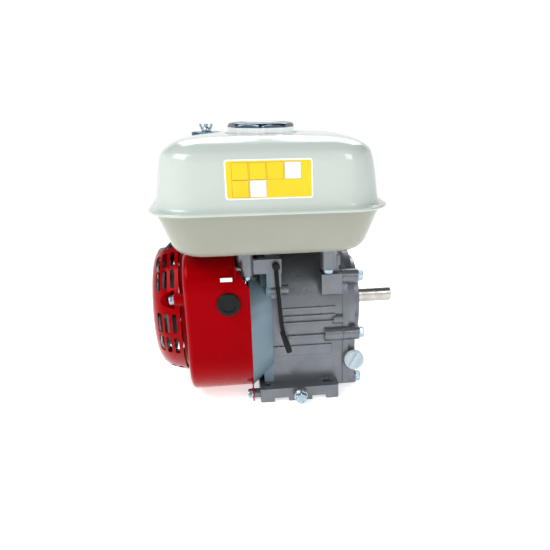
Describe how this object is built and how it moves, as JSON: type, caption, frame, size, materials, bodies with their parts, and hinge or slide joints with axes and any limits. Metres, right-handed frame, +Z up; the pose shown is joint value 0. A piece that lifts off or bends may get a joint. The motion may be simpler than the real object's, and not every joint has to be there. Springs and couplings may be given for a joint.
{
  "type": "small gasoline engine",
  "caption": "Air-cooled four-stroke engine with a horizontal output shaft, an inclined cylinder, a cream tank on top and a red recoil starter.",
  "frame": {"origin": "centre of the foot's four-hole pattern, on the underside of the base", "axes": "+X along the crankshaft towards the output end, +Z up, -Y towards the tank side, the cylinder rises towards +Y"},
  "size_m": [0.315, 0.3617, 0.337],
  "materials": {
    "cast": "as cast, satin",
    "steel": "ground steel",
    "zinc": "zinc plated",
    "iron": "machined cast iron",
    "piston_alloy": "machined",
    "red_paint": "gloss enamel",
    "cream_paint": "gloss enamel",
    "black_paint": "satin",
    "chrome": "plated",
    "rubber": "matt",
    "black_plastic": "moulded",
    "pale_plastic": "moulded",
    "white_ceramic": "glazed",
    "gasket": "pressed fibre",
    "rope": "braided cord",
    "foam": "filter element",
    "dark_steel": "heat stained",
    "moulded": "moulded"
  },
  "bodies": {
    "frame": {"crankcase": "cast", "cylinder_sleeve": "iron", "side_cover": "cast", "side_cover_gasket": "gasket", "side_cover_bolts": "zinc", "bearing_outer_rings": "steel", "oil_seals": "rubber", "cylinder_head": "cast", "head_gasket": "gasket", "head_bolts": "zinc", "valve_cover": "black_paint", "valve_springs": "steel", "spark_plug": "white_ceramic", "spark_plug_cap": "rubber", "ignition_lead": "rubber", "ignition_coil": "black_plastic", "fan_cover": "red_paint", "flange_bolts": "zinc", "recoil_housing": "red_paint", "fuel_tank": "cream_paint", "drain_bolts": "zinc", "rubber_plug": "rubber", "wire_grommet": "rubber", "stop_wire": "rubber", "carburettor": "cast", "inlet_insulator": "black_plastic", "air_cleaner_base": "black_paint", "air_filter": "foam", "muffler": "dark_steel", "muffler_guard": "dark_steel", "fuel_hose": "rubber"},
    "crank": {"crankshaft": "steel", "flywheel": "iron", "cooling_fan": "black_plastic", "starter_cup": "steel", "flywheel_nut": "zinc"},
    "ball_cages": {"bearing_cages": "steel"},
    "cam": {"camshaft": "steel"},
    "governor": {"governor_gear": "moulded"},
    "piston_set": {"piston": "piston_alloy", "piston_rings": "iron", "connecting_rod": "piston_alloy", "rod_pins": "steel"},
    "intake_push": {"intake_pushrod": "steel"},
    "exhaust_push": {"exhaust_pushrod": "steel"},
    "intake_rock": {"intake_rocker": "steel"},
    "exhaust_rock": {"exhaust_rocker": "steel"},
    "intake_poppet": {"intake_valve": "steel"},
    "exhaust_poppet": {"exhaust_valve": "steel"},
    "reel": {"recoil_reel": "moulded", "recoil_rope": "rope"},
    "pull": {"recoil_handle": "black_plastic"},
    "tank_cap": {"fuel_cap": "chrome"},
    "filler_plug": {"oil_filler_cap": "pale_plastic"},
    "dipstick_plug": {"oil_dipstick_cap": "pale_plastic"},
    "cleaner_lid": {"air_cleaner_cover": "black_paint"},
    "lid_nut": {"air_cleaner_wing_nut": "zinc"},
    "throttle": {"throttle_lever": "steel"},
    "choke": {"choke_lever": "steel"},
    "fuel_valve": {"fuel_valve_lever": "steel"}
  },
  "joints": [
    {"name": "crank_spin", "type": "hinge", "parent": "frame", "child": "crank", "pos_m": [0, 0, 0.106], "axis": [1, 0, 0], "continuous": true},
    {"name": "cage_spin", "type": "hinge", "parent": "frame", "child": "ball_cages", "pos_m": [0, 0, 0.106], "axis": [1, 0, 0], "continuous": true},
    {"name": "cam_spin", "type": "hinge", "parent": "frame", "child": "cam", "pos_m": [0, 0.02282, 0.05706], "axis": [1, 0, 0], "continuous": true},
    {"name": "governor_spin", "type": "hinge", "parent": "frame", "child": "governor", "pos_m": [0, -0.03873, 0.09416], "axis": [1, 0, 0], "continuous": true},
    {"name": "piston_slide", "type": "slide", "parent": "frame", "child": "piston_set", "axis": [0, 0.9063, 0.4226], "range_m": [-0.045, 0]},
    {"name": "reel_spin", "type": "hinge", "parent": "frame", "child": "reel", "pos_m": [0, 0, 0.106], "axis": [1, 0, 0], "range_deg": [0, 658.57]},
    {"name": "handle_pull", "type": "slide", "parent": "frame", "child": "pull", "axis": [-0.7071, 0.0862, 0.7018], "range_m": [0, 0.6]},
    {"name": "fuel_cap_lift", "type": "slide", "parent": "frame", "child": "tank_cap", "axis": [0, 0, 1], "range_m": [0, 0.05]},
    {"name": "filler_plug_out", "type": "slide", "parent": "frame", "child": "filler_plug", "axis": [0, -0.9397, 0.342], "range_m": [0, 0.04]},
    {"name": "dipstick_plug_out", "type": "slide", "parent": "frame", "child": "dipstick_plug", "axis": [0, 0.9397, 0.342], "range_m": [0, 0.04]},
    {"name": "cleaner_lid_lift", "type": "slide", "parent": "frame", "child": "cleaner_lid", "axis": [0, 0, 1], "range_m": [0, 0.09]},
    {"name": "lid_nut_lift", "type": "slide", "parent": "cleaner_lid", "child": "lid_nut", "axis": [0, 0, 1], "range_m": [0, 0.03]},
    {"name": "throttle_turn", "type": "hinge", "parent": "frame", "child": "throttle", "pos_m": [-0.065, 0.13897, 0.17522], "axis": [0, 0, 1], "range_deg": [0, 75]},
    {"name": "choke_turn", "type": "hinge", "parent": "frame", "child": "choke", "pos_m": [-0.082, 0.13897, 0.17522], "axis": [0, 0, 1], "range_deg": [0, 70]},
    {"name": "fuel_valve_turn", "type": "hinge", "parent": "frame", "child": "fuel_valve", "pos_m": [-0.074, 0.13897, 0.15922], "axis": [0, 1, 0], "range_deg": [0, 90]},
    {"name": "intake_lift", "type": "slide", "parent": "frame", "child": "intake_push", "axis": [0, 0.9063, 0.4226], "range_m": [0, 0.004]},
    {"name": "intake_rocking", "type": "hinge", "parent": "frame", "child": "intake_rock", "pos_m": [-0.015, 0.18838, 0.16626], "axis": [1, 0, 0], "range_deg": [0, 7.9]},
    {"name": "intake_open", "type": "slide", "parent": "frame", "child": "intake_poppet", "axis": [0, -0.9063, -0.4226], "range_m": [0, 0.004]},
    {"name": "exhaust_lift", "type": "slide", "parent": "frame", "child": "exhaust_push", "axis": [0, 0.9063, 0.4226], "range_m": [0, 0.004]},
    {"name": "exhaust_rocking", "type": "hinge", "parent": "frame", "child": "exhaust_rock", "pos_m": [0.015, 0.18838, 0.16626], "axis": [1, 0, 0], "range_deg": [0, 7.9]},
    {"name": "exhaust_open", "type": "slide", "parent": "frame", "child": "exhaust_poppet", "axis": [0, -0.9063, -0.4226], "range_m": [0, 0.004]}
  ],
  "couplings": [
    {"joint": "cage_spin", "follows": "crank_spin", "ratio": 0.4},
    {"joint": "cam_spin", "follows": "crank_spin", "ratio": -0.5},
    {"joint": "governor_spin", "follows": "crank_spin", "ratio": -0.8},
    {"joint": "reel_spin", "follows": "handle_pull", "rad_per_m": 19.157},
    {"joint": "intake_rocking", "follows": "intake_lift", "rad_per_m": 34.47},
    {"joint": "intake_open", "follows": "intake_lift", "ratio": 1},
    {"joint": "exhaust_rocking", "follows": "exhaust_lift", "rad_per_m": 34.47},
    {"joint": "exhaust_open", "follows": "exhaust_lift", "ratio": 1}
  ]
}
